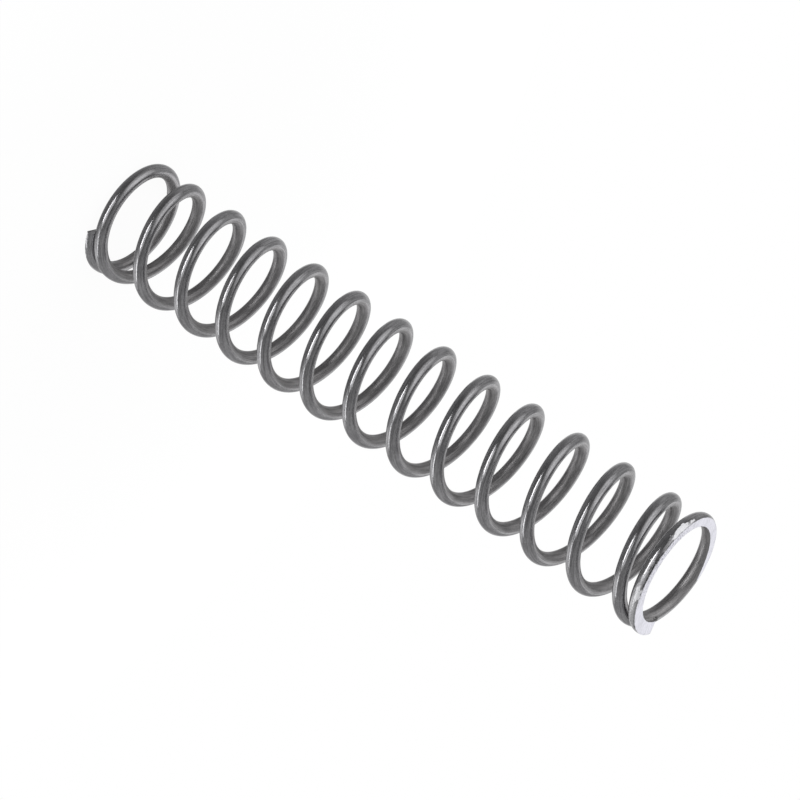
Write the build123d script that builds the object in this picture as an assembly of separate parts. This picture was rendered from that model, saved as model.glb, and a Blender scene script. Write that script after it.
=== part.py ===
from build123d import *
import os
from math import cos, pi, sin

# A cylindrical compression spring, coiled right-hand from one round wire. The coils have one pitch
# all along and close up over the last turn at each end. Both ends are ground flat across the axis.
# The spring stands on its lower end: +Z is its axis, and the wire starts from a tip on +X.

# The wire and the coil, in millimetres
wire_diameter = 1.0
mean_diameter = 8.2  # of the circle that the wire's centre follows
pitch = 4.0  # rise of one free coil
total_turns = 14.22  # from wire tip to wire tip

# The ends: the pitch starts to close this many turns before each tip, and is closed this many later
closing_start = 1.25
lower_closing_turns = 0.44
upper_closing_turns = 0.65
tip_gap = 0.02  # between a closed end's tip and the coil that it lies on
end_coil_growth = 0.03  # closed coils spring out by this much in radius
upper_tip_steepness = 0.75  # extra rise per turn at the upper tip, which stands a little steep
steep_turns = 0.40  # it fades out over this many turns from the tip

# The grinding: wire left at each tip, and how far the upper face is out of square, rising towards +X
lower_tip_thickness = 0.45
upper_tip_thickness = 0.49
upper_face_tilt = 1.5  # degrees

# The curve: how many points set out one turn of the wire's centre line
points_per_turn = 20

wire_radius = wire_diameter / 2
mean_radius = mean_diameter / 2


def closed_share(closing_turns, turns):
    """How far the pitch has closed, 0 to 1, at some turns from a tip: a smooth step."""
    step = min(max((closing_start - turns) / closing_turns, 0), 1)
    return step**2 * (3 - 2 * step)


def open_turns(closing_turns, turns):
    """The turns climbed at full pitch between a tip and a place some turns from it.

    It is the integral of 1 - closed_share, in closed form.
    """
    step = min(max((closing_start - turns) / closing_turns, 0), 1)
    return closing_turns * (0.5 - step + step**3 - step**4 / 2) + max(turns - closing_start, 0)


def steep_rise(steepness, turns):
    """The extra height climbed near a tip that stands steep."""
    near = min(turns, steep_turns)
    return steepness * (near - near**2 / (2 * steep_turns))


def rise(closing_turns, steepness, turns):
    """Height climbed between a tip and a place some turns from it.

    The closed part climbs just enough for the tip to lie on the next coil, one wire further on.
    """
    open_in_one = open_turns(closing_turns, 1)
    closed_rise = wire_diameter + tip_gap - pitch * open_in_one - steep_rise(steepness, 1)
    closed_pitch = closed_rise / (1 - open_in_one)
    opened = open_turns(closing_turns, turns)
    return pitch * opened + closed_pitch * (turns - opened) + steep_rise(steepness, turns)


def lower_rise(turns):
    return rise(lower_closing_turns, 0, turns)


def upper_rise(turns):
    return rise(upper_closing_turns, upper_tip_steepness, turns)


half_turns = total_turns / 2
lower_tip_height = lower_tip_thickness - wire_radius
upper_tip_height = lower_tip_height + lower_rise(half_turns) + upper_rise(half_turns)
free_length = upper_tip_height + upper_tip_thickness - wire_radius  # along the axis


def wire_centre(turns):
    """The wire's centre, at some turns from the lower tip."""
    if turns < half_turns:
        height = lower_tip_height + lower_rise(turns)
        closed = closed_share(lower_closing_turns, turns)
    else:
        height = upper_tip_height - upper_rise(total_turns - turns)
        closed = closed_share(upper_closing_turns, total_turns - turns)
    radius = mean_radius + end_coil_growth * closed
    angle = 2 * pi * turns
    return Vector(radius * cos(angle), radius * sin(angle), height)


def coiled_wire():
    """The whole wire, with round ends cut square, before grinding."""
    steps = round(total_turns * points_per_turn)
    centre_line = Spline(*[wire_centre(total_turns * step / steps) for step in range(steps + 1)])
    section = Plane(origin=centre_line @ 0, z_dir=centre_line % 0) * Circle(wire_radius)
    return sweep(section, path=centre_line, is_frenet=True)


def grinding_wheel():
    """A block that stands on the XY plane, wide enough for a whole end and thicker than the cut."""
    width = 2 * mean_diameter
    return Box(width, width, wire_diameter * 2, align=(Align.CENTER, Align.CENTER, Align.MIN))


lower_wheel = Rot(X=180) * grinding_wheel()
upper_wheel = Pos(Z=free_length) * Rot(Y=-upper_face_tilt) * grinding_wheel()
spring = coiled_wire() - lower_wheel - upper_wheel

os.makedirs("parts", exist_ok=True)
export_step(spring, "parts/spring.step")
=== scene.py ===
from math import cos, pi, radians, sin, tan

import bmesh
import bpy
import numpy as np
from mathutils import Euler, Matrix, Vector


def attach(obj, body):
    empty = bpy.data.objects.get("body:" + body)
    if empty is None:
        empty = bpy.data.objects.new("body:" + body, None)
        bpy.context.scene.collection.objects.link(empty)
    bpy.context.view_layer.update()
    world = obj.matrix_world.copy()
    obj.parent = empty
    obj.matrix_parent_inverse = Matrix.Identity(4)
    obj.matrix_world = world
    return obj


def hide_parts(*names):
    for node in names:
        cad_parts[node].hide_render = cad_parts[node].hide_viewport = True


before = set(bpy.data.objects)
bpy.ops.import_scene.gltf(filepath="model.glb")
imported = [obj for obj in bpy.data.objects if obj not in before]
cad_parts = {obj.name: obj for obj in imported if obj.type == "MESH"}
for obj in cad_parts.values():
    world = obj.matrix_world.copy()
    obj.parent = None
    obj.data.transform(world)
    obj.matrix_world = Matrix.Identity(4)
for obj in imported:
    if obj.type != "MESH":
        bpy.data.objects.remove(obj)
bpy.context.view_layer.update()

# The wire. Round spring steel, drawn through a die, which leaves fine lines along it. It is modelled
# straight first, as it comes from the die, and each point keeps its place along and round the straight
# wire, so that the drawing lines follow the wire when it is coiled.
wire_diameter = 0.001
wire_radius = wire_diameter / 2
mean_radius = 0.0041  # of the circle that the wire's centre follows
total_turns = 14.22  # from wire tip to wire tip
wire_length = 2 * pi * mean_radius * total_turns
turn_length = wire_length / total_turns
sides_round_wire = 40
long_cuts = 99  # the wire's length is cut twice over: into 100 lengths, then each into 15
short_cuts = 14
tip_cuts = 3  # once more near the tips, where the grinding leaves small marks
tip_stretch = 0.5  # turns from each tip
one_ring = wire_radius / 20  # points whose places along the wire differ by less than this are level
sheared_rounding = 0.00012  # where the shear has rolled the edge of the upper tip
sheared_segments = 3

bpy.ops.object.select_all(action="DESELECT")
bpy.ops.mesh.primitive_cylinder_add(
    vertices=sides_round_wire, radius=wire_radius, depth=wire_length, location=(0, 0, wire_length / 2)
)
wire = bpy.context.object
wire.name = "spring_wire"
bpy.ops.object.transform_apply(location=True, rotation=True, scale=True)


def pick(kind, wanted):
    """Selects the edges or the faces of the wire that are wanted, and nothing else, in edit mode."""
    mesh = bmesh.from_edit_mesh(wire.data)
    bpy.context.tool_settings.mesh_select_mode = (False, kind == "edges", kind == "faces")
    for part in (*mesh.verts, *mesh.edges, *mesh.faces):
        part.select = False
    for part in getattr(mesh, kind):
        if wanted(part):
            part.select_set(True)
    bmesh.update_edit_mesh(wire.data)


def runs_along_wire(edge):
    low, high = sorted(corner.co.z for corner in edge.verts)
    return high - low > one_ring


def near_a_tip(edge):
    halfway = (edge.verts[0].co.z + edge.verts[1].co.z) / 2
    from_nearer_tip = min(halfway, wire_length - halfway)
    return runs_along_wire(edge) and from_nearer_tip < turn_length * tip_stretch


def rims_upper_tip(edge):
    return all(corner.co.z > wire_length - one_ring for corner in edge.verts)


bpy.ops.object.mode_set(mode="EDIT")
for cuts, wanted in ((long_cuts, runs_along_wire), (short_cuts, runs_along_wire), (tip_cuts, near_a_tip)):
    pick("edges", wanted)
    bpy.ops.mesh.subdivide(number_cuts=cuts)
pick("edges", rims_upper_tip)
bpy.ops.mesh.bevel(
    offset=sheared_rounding, offset_type="OFFSET", segments=sheared_segments, profile=0.5, clamp_overlap=True
)
bpy.ops.object.mode_set(mode="OBJECT")


def read_vectors(points, name):
    """What a mesh's points hold under a name, one row for each point."""
    flat = np.empty(len(points) * 3, np.float32)
    points.foreach_get(name, flat)
    return flat.reshape(-1, 3).astype(float)


def write_vectors(points, name, vectors):
    points.foreach_set(name, vectors.astype(np.float32).ravel())
    wire.data.update()


straight = read_vectors(wire.data.vertices, "co")
write_vectors(wire.data.attributes.new("drawn", "FLOAT_VECTOR", "POINT").data, "vector", straight)

# The coil. The wire is wound right-hand round an arbor. The coils have one pitch all along and close up
# over the last turn at each end, where they spring out a little. No modelling operator winds a helix
# whose pitch changes, so the wound place of each point is worked out here.
pitch = 0.004
closing_start = 1.25  # turns before each tip at which the pitch starts to close
lower_closing_turns = 0.44  # and over how many turns it closes
upper_closing_turns = 0.65
tip_gap = 0.00002  # between a closed end's tip and the coil that it lies on
end_coil_growth = 0.00003  # of the closed coils, in radius
upper_tip_steepness = 0.00075  # extra rise per turn at the upper tip, which stands a little steep
steep_turns = 0.40  # it fades out over this many turns from the tip
lower_tip_thickness = 0.00045  # of wire that the grinding leaves at the tip
upper_tip_thickness = 0.00049


def closed_share(closing_turns, turns):
    """How far the pitch has closed, 0 to 1, at some turns from a tip: a smooth step."""
    step = np.clip((closing_start - turns) / closing_turns, 0, 1)
    return step**2 * (3 - 2 * step)


def open_turns(closing_turns, turns):
    """The turns climbed at full pitch between a tip and a place some turns from it.

    It is the integral of 1 - closed_share, in closed form.
    """
    step = np.clip((closing_start - turns) / closing_turns, 0, 1)
    return closing_turns * (0.5 - step + step**3 - step**4 / 2) + np.maximum(turns - closing_start, 0)


def steep_rise(steepness, turns):
    """The extra height climbed near a tip that stands steep."""
    near = np.minimum(turns, steep_turns)
    return steepness * (near - near**2 / (2 * steep_turns))


def rise(closing_turns, steepness, turns):
    """Height climbed between a tip and a place some turns from it.

    The closed part climbs just enough for the tip to lie on the next coil, one wire further on.
    """
    open_in_one = open_turns(closing_turns, 1)
    closed_rise = wire_diameter + tip_gap - pitch * open_in_one - steep_rise(steepness, 1)
    closed_pitch = closed_rise / (1 - open_in_one)
    opened = open_turns(closing_turns, turns)
    return pitch * opened + closed_pitch * (turns - opened) + steep_rise(steepness, turns)


def lower_rise(turns):
    return rise(lower_closing_turns, 0, turns)


def upper_rise(turns):
    return rise(upper_closing_turns, upper_tip_steepness, turns)


half_turns = total_turns / 2
lower_tip_height = lower_tip_thickness - wire_radius
upper_tip_height = lower_tip_height + lower_rise(half_turns) + upper_rise(half_turns)
free_length = upper_tip_height + upper_tip_thickness - wire_radius


def wire_centre(turns):
    """The wire's centre, at each number of turns from the lower tip."""
    low = turns < half_turns
    height = np.where(
        low,
        lower_tip_height + lower_rise(turns),
        upper_tip_height - upper_rise(total_turns - turns),
    )
    closed = np.where(
        low,
        closed_share(lower_closing_turns, turns),
        closed_share(upper_closing_turns, total_turns - turns),
    )
    radius = mean_radius + end_coil_growth * closed
    angle = 2 * pi * turns
    return np.stack([radius * np.cos(angle), radius * np.sin(angle), height], axis=1)


def unit(vectors):
    return vectors / np.linalg.norm(vectors, axis=1, keepdims=True)


small_step = 0.0001  # turns to either side of a place, which give the wire's direction there
turns = straight[:, 2] / wire_length * total_turns
centres = wire_centre(turns)
forward = unit(wire_centre(turns + small_step) - wire_centre(turns - small_step))
outward = unit(centres * (1, 1, 0))
upward = unit(np.cross(outward, forward))
outward = np.cross(forward, upward)
wound = centres + outward * straight[:, :1] + upward * straight[:, 1:2]
write_vectors(wire.data.vertices, "co", wound)

# The ground ends. Both ends are ground flat on a wheel, across the axis, so that the spring stands
# square. The wheel takes the last coils down to about half a wire at the tips and leaves a bright face.
upper_face_tilt = radians(1.5)  # out of square, rising towards +X
smallest_gap = 1e-7  # a point nearer to the cut than this lies on it
smallest_edge = 2e-6
lower_cut = ((0, 0, 0), (0, 0, -1))  # a place on the wheel's face, and the side that it takes away
upper_cut = ((0, 0, free_length), (-sin(upper_face_tilt), 0, cos(upper_face_tilt)))
ground_slot = 1  # the second material: the first is the drawn steel of the wire
corners_of_ground_face = 4 * sides_round_wire  # it has more, and the wire's other faces have fewer

bpy.ops.object.mode_set(mode="EDIT")
for cut_place, taken_side in (lower_cut, upper_cut):
    bpy.ops.mesh.select_all(action="SELECT")
    bpy.ops.mesh.bisect(plane_co=cut_place, plane_no=taken_side, clear_outer=True, threshold=smallest_gap)
    pick("edges", lambda edge: edge.is_boundary)
    bpy.ops.mesh.remove_doubles(threshold=smallest_edge)
    pick("edges", lambda edge: edge.is_boundary)
    bpy.ops.mesh.edge_face_add()
bpy.ops.object.mode_set(mode="OBJECT")

ground_faces = [face for face in wire.data.polygons if len(face.vertices) > corners_of_ground_face]
for face in ground_faces:
    face.material_index = ground_slot

# The burr. The wheel leaves a ragged burr along the edges of each ground face, largest on the outer edge
# of the upper one, a third of a turn from the tip, where the face is narrow. The shear has left a small
# spur on the lower tip, and the wheel has ground it off level.
burr_size = 0.000012
large_burr_size = 0.00013
large_burr_place = 0.32  # turns from the upper tip
large_burr_reach = 0.11
tooth_shares = (0.25, 0.5, 0.25)  # the height of a tooth is averaged with its neighbours'
tooth_contrast = 2  # and the averages are then spread out again, about their middle
spur_length = 0.00011
spur_reach = 0.0005  # turns from the lower tip
no_direction = 1e-9  # keeps a point on the wire's centre from having no way out
smooth_angle = radians(40)  # where the faces turn more sharply than this, the edge shows
chance = np.random.default_rng(7)

edge_points = np.array(sorted({corner for face in ground_faces for corner in face.vertices}))
places = read_vectors(wire.data.vertices, "co")
edge_drawn = read_vectors(wire.data.attributes["drawn"].data, "vector")[edge_points]
edge_turns = edge_drawn[:, 2] / turn_length
on_outer_side = edge_drawn[:, 0] > 0
sideways = unit((places[edge_points] - wire_centre(edge_turns)) * (1, 1, 0) + no_direction)

teeth = np.convolve(chance.random(len(edge_points) + len(tooth_shares) - 1), tooth_shares, "valid")
ragged = np.empty(len(edge_points))
ragged[np.argsort(edge_turns)] = np.clip(teeth * tooth_contrast - (tooth_contrast - 1) / 2, 0, 1)
large_share = np.exp(-(((total_turns - edge_turns - large_burr_place) / large_burr_reach) ** 2))
size = burr_size + large_burr_size * (large_share * on_outer_side)
places[edge_points] += sideways * (ragged * size)[:, None]

at_spur = (edge_turns < spur_reach) & on_outer_side
tip_forward = unit(wire_centre(np.array([small_step])) - wire_centre(np.array([0.0])))
spur_shape = np.clip(edge_drawn[:, :1] / wire_radius, 0, 1) ** 2
places[edge_points[at_spur]] -= tip_forward * spur_length * spur_shape[at_spur]
places[:, 2] = np.maximum(places[:, 2], 0)
write_vectors(wire.data.vertices, "co", places)


def borders_ground_face(edge):
    return len({face.material_index for face in edge.link_faces}) > 1


# The edges of the ground faces are sharp, and the faces are divided into even triangles: long thin ones
# would give the finish wrong places on the wire.
bpy.ops.object.shade_smooth_by_angle(angle=smooth_angle)
bpy.ops.object.mode_set(mode="EDIT")
pick("edges", borders_ground_face)
bpy.ops.mesh.mark_sharp()
pick("faces", lambda face: face.material_index == ground_slot)
bpy.ops.mesh.quads_convert_to_tris(quad_method="BEAUTY", ngon_method="BEAUTY")
bpy.ops.object.mode_set(mode="OBJECT")


# The finish of the drawn wire. Bare spring steel, grey and half bright, with the die's fine lines along
# it, soft blotches, grain and a few small pits. The end coil near the upper tip has a worn patch and a
# scuff, painted near white as a highlight on the wear, and a dulled stretch. A painted shadow lies
# under the large burr.
class Socket:
    """A socket of a shader. An expression on it adds Math nodes, so 1 - mask makes a Subtract node."""

    def __init__(self, tree, socket=None):
        self.tree = tree
        self.socket = socket

    def node(self, kind, settings=None, inputs=None, output=0):
        """A new node: its settings are set first, then its sockets get their values or links.

        It gives one output, by number or name, or all of them by name if output is None.
        """
        made = self.tree.nodes.new("ShaderNode" + kind)
        for name, value in (settings or {}).items():
            setattr(made, name, value)
        for name, value in (inputs or {}).items():
            if isinstance(value, Socket):
                self.tree.links.new(value.socket, made.inputs[name])
            else:
                made.inputs[name].default_value = value
        if output is None:
            return {socket.name: Socket(self.tree, socket) for socket in made.outputs}
        return Socket(self.tree, made.outputs[output]) if made.outputs else None

    def math(self, operation, *values):
        return self.node("Math", {"operation": operation}, dict(enumerate(values)))

    def __add__(self, other):
        return self.math("ADD", self, other)

    def __sub__(self, other):
        return self.math("SUBTRACT", self, other)

    def __rsub__(self, other):
        return self.math("SUBTRACT", other, self)

    def __mul__(self, other):
        return self.math("MULTIPLY", self, other)

    __radd__ = __add__
    __rmul__ = __mul__


def new_material(name):
    material = bpy.data.materials.new(name)
    material.use_nodes = True
    material.node_tree.nodes.clear()
    return material, Socket(material.node_tree)


def object_place(shader):
    return shader.node("TexCoord", output="Object")


def drawn_place(shader):
    """The place on the straight wire: x outwards and y upwards from its centre, and z along it."""
    return shader.node("Attribute", {"attribute_name": "drawn"}, output="Vector")


def axes_of(shader, vector):
    """The x, y and z of a vector."""
    return shader.node("SeparateXYZ", inputs={0: vector}, output=None).values()


def turns_from_upper_tip(along):
    return (wire_length - along) * (1 / turn_length)


def noise(shader, place, sizes, detail=2.0, roughness=0.5):
    """Cloudy noise, about 0 to 1, whose clouds have these sizes in metres along x, y and z."""
    scaled = shader.node(
        "VectorMath", {"operation": "MULTIPLY"}, {0: place, 1: tuple(1 / size for size in sizes)}
    )
    return shader.node(
        "TexNoise", inputs={"Vector": scaled, "Scale": 1.0, "Detail": detail, "Roughness": roughness}
    )


def between(shader, value, zero_at, one_at):
    """Goes smoothly from 0 to 1 as a value goes from zero_at to one_at."""
    return shader.node(
        "MapRange",
        {"interpolation_type": "SMOOTHSTEP"},
        {"Value": value, "From Min": zero_at, "From Max": one_at},
    )


def band(shader, value, low, low_full, high_full, high):
    """1 where a value is from low_full to high_full, and 0 where it is below low or above high."""
    return between(shader, value, high, high_full) * between(shader, value, low, low_full)


def blend(shader, share, first, second, kind="MIX"):
    """A colour between two colours, or the first tinted by the second if kind is MULTIPLY."""
    return shader.node(
        "Mix", {"data_type": "RGBA", "blend_type": kind}, {0: share, 6: first, 7: second}, output=2
    )


def finish_with(shader, height, depth, look):
    """Ends a material with a Principled shader of this look, whose bumps are this deep, in metres."""
    bumps = shader.node("Bump", inputs={"Strength": 1.0, "Distance": depth, "Height": height})
    shader.node(
        "OutputMaterial", inputs={"Surface": shader.node("BsdfPrincipled", inputs={**look, "Normal": bumps})}
    )


drawn_dark = (0.24, 0.238, 0.246, 1)
drawn_light = (0.52, 0.515, 0.53, 1)
# Dark of the pits, and of the painted shadow under the burr.
pit_and_shadow_dark = (0.06, 0.06, 0.06, 1)
inner_darkening = (0.95, 0.94, 0.925, 1)  # the wire is a little darker and warmer on its inner side, inside the coils
# The worn patch and the scuff are painted near white and hardly metallic: real wear with a painted highlight
# on it.
wear_and_highlight_white = (0.92, 0.92, 0.95, 1)
edge_tint = (0.7, 0.7, 0.7, 1)  # how much of a glancing reflection dark steel keeps
drawn_bump_depth = 0.0000022
mark_full = 0.85  # a mark is full up to this distance from its middle, in half sizes
mark_gone = 1.15  # and gone from here on
mark_edge_noise = 2.6  # how far the noise moves its edge, in half sizes
burr_shadow_edge_noise = 0.00016  # how far the noise moves the edges of the painted shadow under the burr

steel, shader = new_material("drawn_steel")
on_wire = drawn_place(shader)
outwards, upwards, along = axes_of(shader, on_wire)
from_tip = turns_from_upper_tip(along)
round_wire = shader.math("ARCTAN2", upwards, outwards)

lines = noise(shader, on_wire, (0.00007, 0.00007, 0.0022), 3.0, 0.6)
fine_lines = noise(shader, on_wire, (0.000025, 0.000025, 0.0009))
blotches = noise(shader, on_wire, (0.0004, 0.0004, 0.0012), 4.0, 0.6)
specks = noise(shader, on_wire, (0.00006, 0.00006, 0.00012), 1.0)
grain = noise(shader, on_wire, (0.00005, 0.00005, 0.0001), 2.0, 0.7)
rough_marks = noise(shader, on_wire, (0.00007, 0.00007, 0.00009))
mark_noise = noise(shader, on_wire, (0.00016, 0.00016, 0.0005), 3.0, 0.6)
pit_noise = noise(shader, on_wire, (0.00013, 0.00013, 0.0003))
burr_shadow_noise = noise(shader, on_wire, (0.00012, 0.00012, 0.0004), 3.0, 0.6)


def mark(turns, angle, half_length, half_width, edge_noise):
    """A mask of one ragged mark on the wire: 1 inside and 0 outside.

    Its place is in turns from the upper tip and in degrees round the wire, 0 outwards and 90 up. Its
    half length is in turns, and its half width in degrees.
    """
    lengthways = (from_tip - turns) * (1 / half_length)
    widthways = (round_wire - radians(angle)) * (1 / radians(half_width))
    distance = shader.math("SQRT", lengthways * lengthways + widthways * widthways)
    return between(shader, distance + (edge_noise - 0.5) * mark_edge_noise, mark_gone, mark_full)


# Marks of real wear. The worn patch and the scuff also carry a painted highlight.
worn_patch_and_highlight = mark(0.420, 32, 0.036, 24, mark_noise)
scuff_and_highlight = mark(0.226, 16, 0.020, 24, mark_noise)
dulled = mark(0.200, 10, 0.098, 32, mark_noise)
wear_and_highlight = shader.math("MAXIMUM", shader.math("MAXIMUM", scuff_and_highlight * 0.75, worn_patch_and_highlight), dulled * 0.28)
tip_pits = mark(0.963, 92, 0.012, 24, pit_noise)
pitted = shader.math("MAXIMUM", between(shader, specks, 0.30, 0.24) * 0.5, tip_pits * 0.85)

# A painted shadow: a dark ragged line just below the upper face, beside the large burr.
object_x, _, object_z = axes_of(shader, object_place(shader))
below_face = object_x * tan(upper_face_tilt) + free_length - object_z
burr_shadow_depth = below_face + (burr_shadow_noise - 0.5) * burr_shadow_edge_noise
beside_large_burr = band(shader, from_tip, 0.08, 0.14, 0.31, 0.37)  # in turns
burr_shadow = band(shader, burr_shadow_depth, 0.00001, 0.00004, 0.00009, 0.00014) * beside_large_burr  # in metres

tone = lines * 0.4 + blotches * 0.22 + grain * 0.38
clean = blend(shader, between(shader, tone, 0.38, 0.62), drawn_dark, drawn_light)
on_inner_side = between(shader, outwards, 0.0002, -0.0003)
# The inner side of the wire is tinted a little darker and warmer.
inner_darkened = blend(shader, on_inner_side, clean, inner_darkening, "MULTIPLY")
# Pits and the painted shadow under the burr darken the steel.
pitted_and_shadowed = blend(shader, shader.math("MAXIMUM", pitted, burr_shadow * 0.65), inner_darkened, pit_and_shadow_dark)
# The colour of the wear, near white where it carries the painted highlight.
wear_and_highlight_colour = blend(shader, between(shader, rough_marks, 0.36, 0.28), wear_and_highlight_white, drawn_dark)
finish_with(
    shader,
    lines * 0.55 + fine_lines * 0.25 + blotches * 0.6 - pitted * 0.5 + wear_and_highlight * rough_marks * 8,
    drawn_bump_depth,
    {
        "Base Color": blend(shader, wear_and_highlight, pitted_and_shadowed, wear_and_highlight_colour),
        "Metallic": 1 - wear_and_highlight * 0.75,
        "Roughness": blotches * 0.12 + grain * 0.06 + 0.11 + wear_and_highlight * 0.3 + on_inner_side * 0.22,
        "Specular Tint": edge_tint,
    },
)
wire.data.materials.append(steel)

# The finish of the ground faces. The wheel leaves the steel bright and clean, with fine lines across the
# face. Where the upper face is narrow, its outer edge is torn and crumbly, and dark between the crumbs.
ground_dark = (0.68, 0.678, 0.74, 1)
ground_light = (0.89, 0.885, 0.96, 1)
torn_dark = (0.13, 0.13, 0.14, 1)
ground_bump_depth = 0.0000025
torn_edge_noise = 0.00028  # how far the crumbs move the torn edge

ground, shader = new_material("ground_steel")
place = object_place(shader)
outwards, upwards, along = axes_of(shader, drawn_place(shader))
wheel_lines = noise(shader, place, (0.00006, 0.0012, 0.001), 3.0, 0.6)
clouds = noise(shader, place, (0.0005, 0.0005, 0.0005), 4.0, 0.6)
crumbs = noise(shader, place, (0.00011, 0.00011, 0.00011), 3.0, 0.65)

half_chord = shader.math("SQRT", shader.math("MAXIMUM", wire_radius**2 - upwards * upwards, 0.0))
to_outer_edge = half_chord - outwards
narrow = band(shader, turns_from_upper_tip(along), 0.16, 0.24, 0.42, 0.50)  # in turns
torn_edge = between(shader, to_outer_edge + (crumbs - 0.5) * torn_edge_noise, 0.00009, 0.00003)
crumbly = between(shader, crumbs, 0.46, 0.34) * narrow * 0.55
torn = shader.math("MAXIMUM", torn_edge * (narrow * 0.5 + 0.12), crumbly)

tone = wheel_lines * 0.6 + clouds * 0.4
clean = blend(shader, between(shader, tone, 0.38, 0.6), ground_dark, ground_light)
finish_with(
    shader,
    wheel_lines * 0.7 + clouds * 0.5 - torn * 6,
    ground_bump_depth,
    {
        "Base Color": blend(shader, torn, clean, torn_dark),
        "Metallic": 1.0,
        "Roughness": clouds * 0.15 + 0.35,
    },
)
wire.data.materials.append(ground)

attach(wire, "root")
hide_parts("spring")

# The white behind the spring. It is the world's own white, which the camera and the metal see at full
# strength. The light that it gives is weaker, so that the steel keeps its greys.
white = (1, 1, 1, 1)
ambient = 0.6

world = bpy.data.worlds.new("studio")
bpy.context.scene.world = world
world.use_nodes = True
world.node_tree.nodes.clear()
sky = Socket(world.node_tree)


def shows_background(shader):
    """1 for the rays that are to see the background as white, and 0 for those that light things."""
    seen, reflected, let_through = (
        shader.node("LightPath", output=f"Is {kind} Ray") for kind in ("Camera", "Glossy", "Transmission")
    )
    return shader.math("MAXIMUM", shader.math("MAXIMUM", seen, reflected), let_through)


strength = shows_background(sky) * (1 - ambient) + ambient
sky.node(
    "OutputWorld",
    inputs={"Surface": sky.node("Background", inputs={"Color": white, "Strength": strength})},
)

# The room: a ball round the spring, seen only in the metal. Its dim grey gives the wire its dark flanks.
# It is open behind the spring, where the white shows, and a little lighter low in the view than high.
camera_azimuth = radians(55.73)
camera_elevation = radians(25.67)
camera_roll = radians(123.3)
middle = Vector((0, 0, free_length / 2))
room_radius = 0.9
room_grey = 0.33
grey_upwards = -0.097  # how much lighter it is towards the top of the view
grey_rightwards = 0.05  # towards the right
grey_frontwards = -0.165  # and towards the camera
opening_rim = -0.70  # the opening starts this far round from the front, as a share of the radius
opening_clear = -0.92  # and is quite clear from here

to_camera = Vector(
    (
        sin(camera_azimuth) * cos(camera_elevation),
        -cos(camera_azimuth) * cos(camera_elevation),
        sin(camera_elevation),
    )
)
level = Euler((pi / 2 - camera_elevation, 0, camera_azimuth)).to_matrix()
turned = level @ Matrix.Rotation(camera_roll, 3, "Z")
view_up = turned @ Vector((0, 1, 0))
view_right = turned @ Vector((1, 0, 0))

bpy.ops.object.select_all(action="DESELECT")
bpy.ops.mesh.primitive_uv_sphere_add(segments=64, ring_count=32, radius=room_radius, location=middle)
room = bpy.context.object
room.name = "room"
room_finish, shader = new_material("room")
from_middle = shader.node("VectorMath", {"operation": "SUBTRACT"}, {0: object_place(shader), 1: middle})


def share(axis):
    """How far a place on the room lies towards an axis, -1 to 1."""
    dot = shader.node("VectorMath", {"operation": "DOT_PRODUCT"}, {0: from_middle, 1: axis}, output="Value")
    return dot * (1 / room_radius)


def dress(piece, finish):
    """Applies a piece's transform and gives it its one material."""
    bpy.ops.object.transform_apply(location=True, rotation=True, scale=True)
    piece.data.materials.append(finish)


frontwards = share(to_camera)
grey = (
    share(view_up) * grey_upwards
    + share(view_right) * grey_rightwards
    + frontwards * grey_frontwards
    + room_grey
)
dim = shader.node(
    "Emission",
    inputs={"Color": shader.node("CombineColor", inputs={"Red": grey, "Green": grey, "Blue": grey})},
)
clear = shader.node("BsdfTransparent")
opening = between(shader, frontwards, opening_rim, opening_clear)
shader.node(
    "OutputMaterial", inputs={"Surface": shader.node("MixShader", inputs={0: opening, 1: dim, 2: clear})}
)
dress(room, room_finish)
for rays in ("camera", "diffuse", "transmission", "shadow"):
    setattr(room, "visible_" + rays, False)

# The floor. A pale disc that the spring stands on, whose rim fades into the white behind it. It keeps a
# faint shadow. It casts none itself, because the lamps stand lower than it, and isn't seen in the metal.
floor_radius = 0.05
floor_drop = 0.00001  # below the lower ground face
floor_sides = 96
floor_pale = (0.95, 0.95, 0.95, 1)
floor_white = 1.01  # makes up for what the shadow's share takes from the white
shadow_share = 0.06

bpy.ops.object.select_all(action="DESELECT")
bpy.ops.mesh.primitive_circle_add(
    vertices=floor_sides, radius=floor_radius, fill_type="NGON", location=(0, 0, -floor_drop)
)
floor = bpy.context.object
floor.name = "floor"
floor_finish, shader = new_material("floor")
pale = shader.node("BsdfDiffuse", inputs={"Color": floor_pale})
glow = shader.node("Emission", inputs={"Color": white, "Strength": floor_white})
from_centre = shader.node("VectorMath", {"operation": "LENGTH"}, {0: object_place(shader)}, output="Value")
near_spring = between(shader, from_centre, floor_radius, floor_radius / 3)
lit = 1 - shows_background(shader) * (1 - near_spring * shadow_share)
shader.node(
    "OutputMaterial", inputs={"Surface": shader.node("MixShader", inputs={0: lit, 1: glow, 2: pale})}
)
dress(floor, floor_finish)
floor.visible_glossy = False
floor.visible_shadow = False

# The lamps. Two thin strips make the streaks along the wire, and a wider, weaker glow softens the first.
# They stand low, where those streaks ask for them. Broad weak lamps light the inside of the coils, the
# ground face and the side away from the strips.
lamp_distance = 0.6


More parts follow.
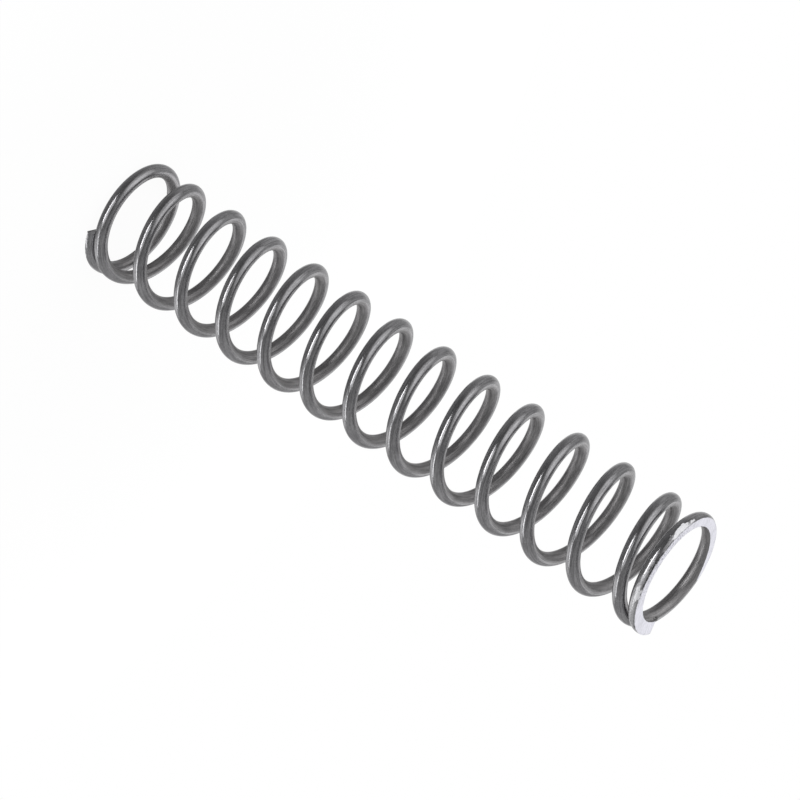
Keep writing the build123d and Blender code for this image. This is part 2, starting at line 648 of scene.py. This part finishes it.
def add_lamp(name, azimuth, elevation, wide, high, radiance, shape="RECTANGLE"):
    """A flat lamp aimed at the middle of the spring. Its place and its size are angles seen from there,
    in degrees, and its power follows from how bright its face is."""
    towards = Vector((1, 0, 0))
    towards.rotate(Euler((0, -radians(elevation), radians(azimuth))))
    data = bpy.data.lights.new(name, "AREA")
    data.shape = shape
    data.size = 2 * lamp_distance * tan(radians(wide / 2))
    data.size_y = 2 * lamp_distance * tan(radians(high / 2))
    area = data.size * data.size_y * (pi / 4 if shape == "ELLIPSE" else 1)
    data.energy = radiance * pi * area
    lamp = bpy.data.objects.new(name, data)
    bpy.context.scene.collection.objects.link(lamp)
    lamp.location = middle + towards * lamp_distance
    lamp.rotation_euler = towards.to_track_quat("Z", "Y").to_euler()


# Each lamp's azimuth, elevation, width, height and brightness.
add_lamp("key_strip", -26.5, -14.4, 46, 6.5, 7.3)
add_lamp("key_glow", -20, -4, 54, 13, 1.1)
add_lamp("front_fill", -25, 13, 42, 12, 1.2)
add_lamp("second_strip", 36, -12.5, 42, 9, 2.4)
add_lamp("low_fill", 70, -38, 36, 36, 0.6, "ELLIPSE")
add_lamp("low_strip", 28, -31, 36, 24, 0.4)
add_lamp("side_lamp", -110, 43, 46, 46, 0.75, "ELLIPSE")
add_lamp("side_lamp_edge", -110, 43, 74, 74, 0.4, "ELLIPSE")
add_lamp("back_fill", -150, -10, 44, 44, 0.08, "ELLIPSE")
add_lamp("end_fill", 146, 26, 34, 34, 0.65, "ELLIPSE")

# The camera. It looks down on the spring from the side of its upper end with a long lens, and is rolled
# so that the spring lies slantwise across the view.
camera_target = Vector((0, 0, 0.025412))
camera_place = Vector((0.000503, -0.000730, 0.25674))  # right, up and back from the target

camera = bpy.data.objects.new("camera", bpy.data.cameras.new("camera"))
bpy.context.scene.collection.objects.link(camera)
camera.data.lens = 165.64
camera.data.sensor_width = 36
camera.data.clip_start = 0.01
camera.data.clip_end = 10
camera.location = camera_target + turned @ camera_place
camera.rotation_euler = turned.to_euler()
bpy.context.scene.camera = camera
bpy.context.scene.view_settings.view_transform = "Standard"
